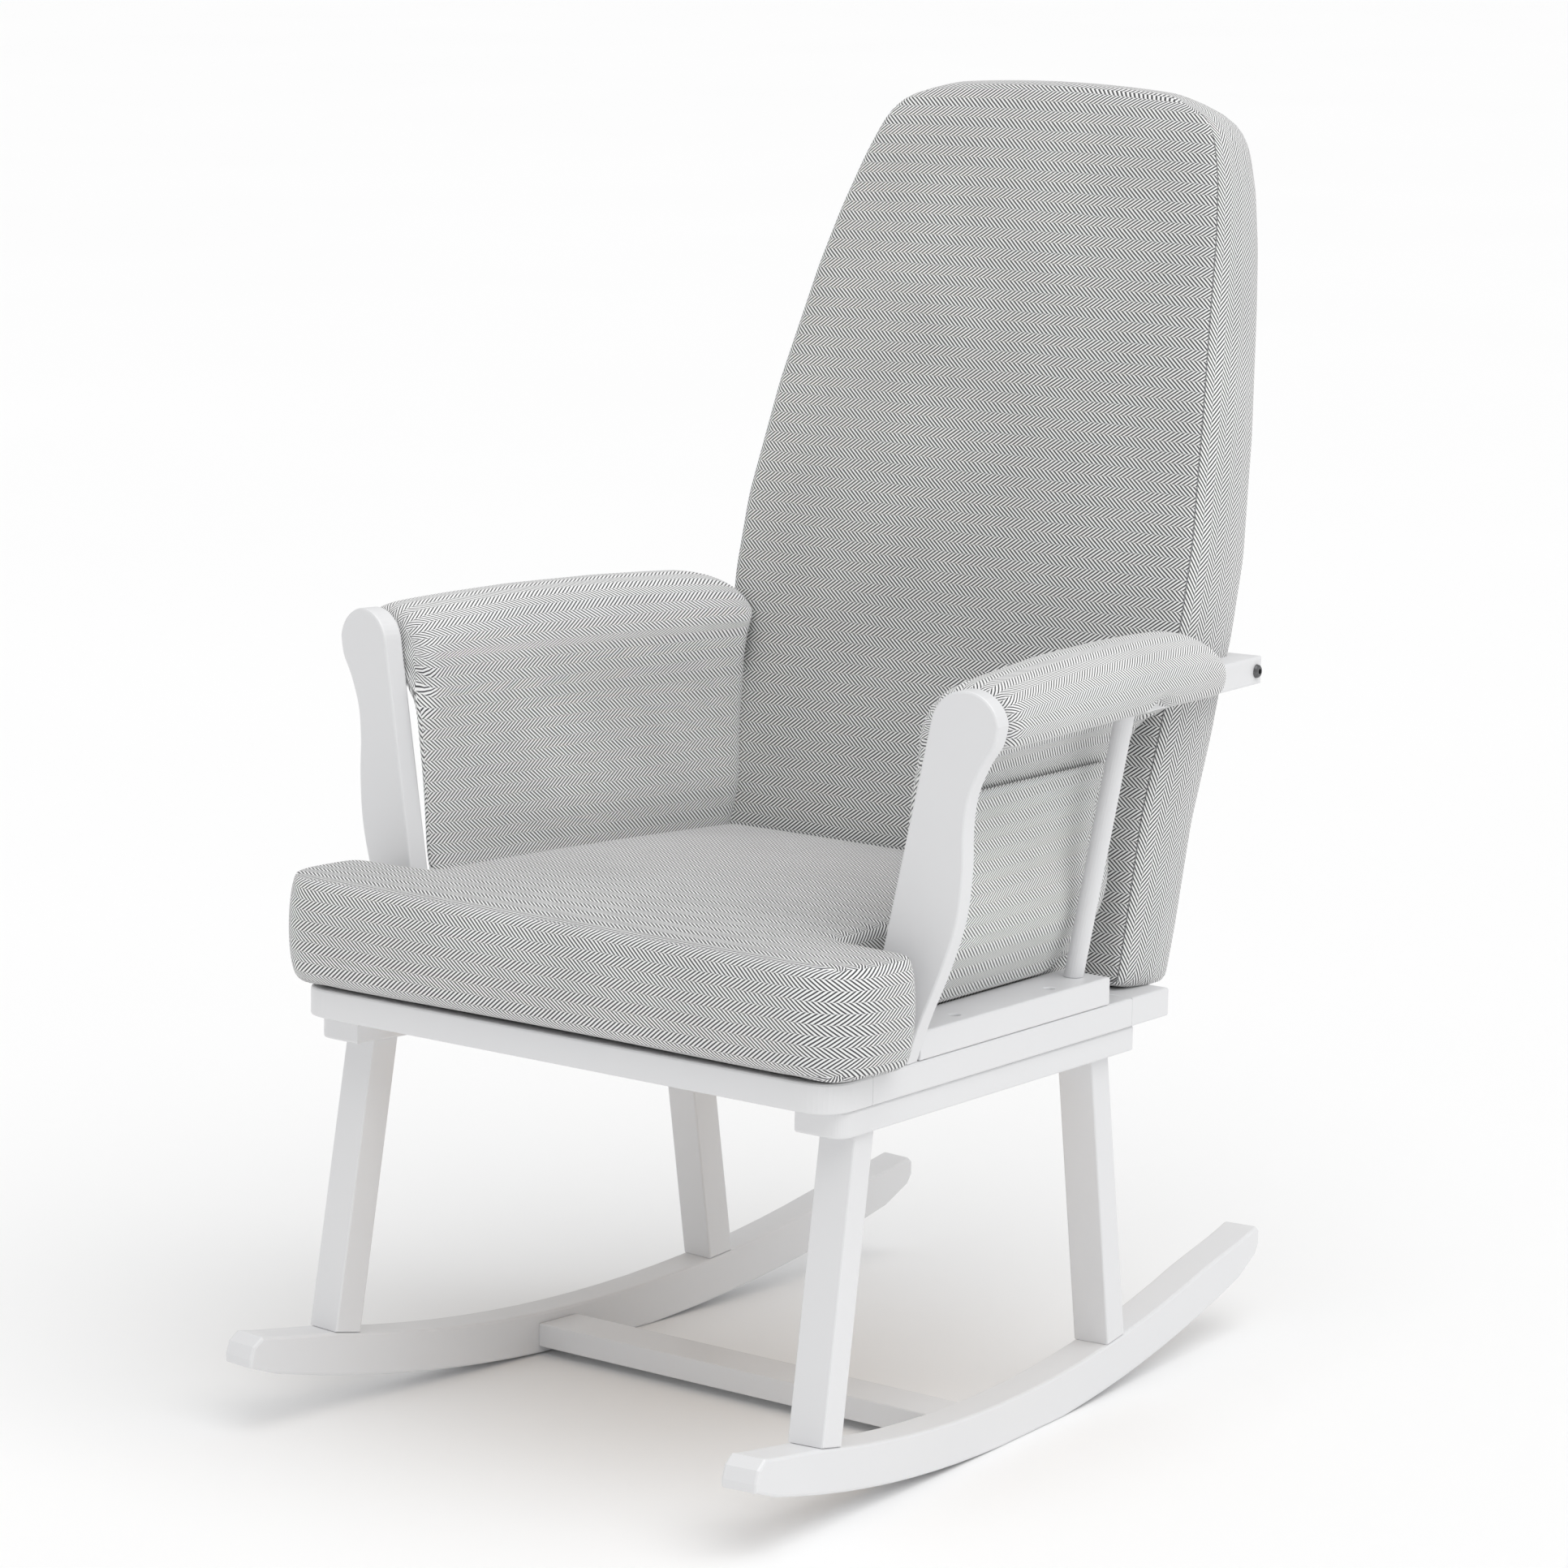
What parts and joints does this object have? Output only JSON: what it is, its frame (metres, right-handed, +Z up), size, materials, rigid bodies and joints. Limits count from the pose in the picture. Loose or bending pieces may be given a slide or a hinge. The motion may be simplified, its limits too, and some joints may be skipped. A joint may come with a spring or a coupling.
{
  "type": "rocking chair",
  "caption": "Upholstered rocking chair: white wooden frame on two curved rockers, tall boxed back, loose seat cushion and padded arms with side pockets.",
  "frame": {"origin": "middle of the bounding box's footprint, on the floor under the rockers", "axes": "+Z up, -Y the way the chair faces, +X to the chair's right hand side as seen from in front"},
  "size_m": [0.7096, 0.8278, 1.102],
  "materials": {
    "white_paint": "satin white paint on solid wood",
    "bare_wood": "planed, unfinished",
    "herringbone_fabric": "white and grey herringbone weave over foam",
    "steel": "zinc plated"
  },
  "bodies": {
    "chair": {"arm_base_rail_left": "white_paint", "arm_base_rail_right": "white_paint", "arm_bolt_left": "steel", "arm_bolt_right": "steel", "arm_pad_left": "herringbone_fabric", "arm_pad_right": "herringbone_fabric", "arm_panel_left": "herringbone_fabric", "arm_panel_right": "herringbone_fabric", "arm_pocket_left": "herringbone_fabric", "arm_pocket_right": "herringbone_fabric", "arm_post_left": "white_paint", "arm_post_right": "white_paint", "arm_spindle_left": "white_paint", "arm_spindle_right": "white_paint", "arm_strap_front_left": "herringbone_fabric", "arm_strap_front_right": "herringbone_fabric", "arm_strap_rear_left": "herringbone_fabric", "arm_strap_rear_right": "herringbone_fabric", "arm_top_rail_left": "white_paint", "arm_top_rail_right": "white_paint", "back_cover": "herringbone_fabric", "back_cross_rail": "white_paint", "back_cushion": "herringbone_fabric", "back_slat_1": "bare_wood", "back_slat_2": "bare_wood", "back_slat_3": "bare_wood", "back_slat_4": "bare_wood", "back_slat_5": "bare_wood", "back_slat_6": "bare_wood", "back_upright_left": "bare_wood", "back_upright_right": "bare_wood", "base_rail_screw_front_left": "steel", "base_rail_screw_front_right": "steel", "base_rail_screw_rear_left": "steel", "base_rail_screw_rear_right": "steel", "leg_front_left": "white_paint", "leg_front_right": "white_paint", "leg_rail_left": "white_paint", "leg_rail_right": "white_paint", "leg_rear_left": "white_paint", "leg_rear_right": "white_paint", "rocker_left": "white_paint", "rocker_right": "white_paint", "rocker_stretcher": "white_paint", "seat_rail_front": "white_paint", "seat_rail_left": "white_paint", "seat_rail_rear": "white_paint", "seat_rail_right": "white_paint", "seat_slat_1": "bare_wood", "seat_slat_2": "bare_wood", "seat_slat_3": "bare_wood", "seat_slat_4": "bare_wood", "seat_slat_5": "bare_wood", "slat_ledger_left": "bare_wood", "slat_ledger_right": "bare_wood"},
    "cushion": {"seat_cushion": "herringbone_fabric"}
  },
  "joints": [
    {"name": "cushion_lift", "type": "slide", "parent": "chair", "child": "cushion", "axis": [0, 0, 1], "range_m": [0, 0.18]}
  ]
}
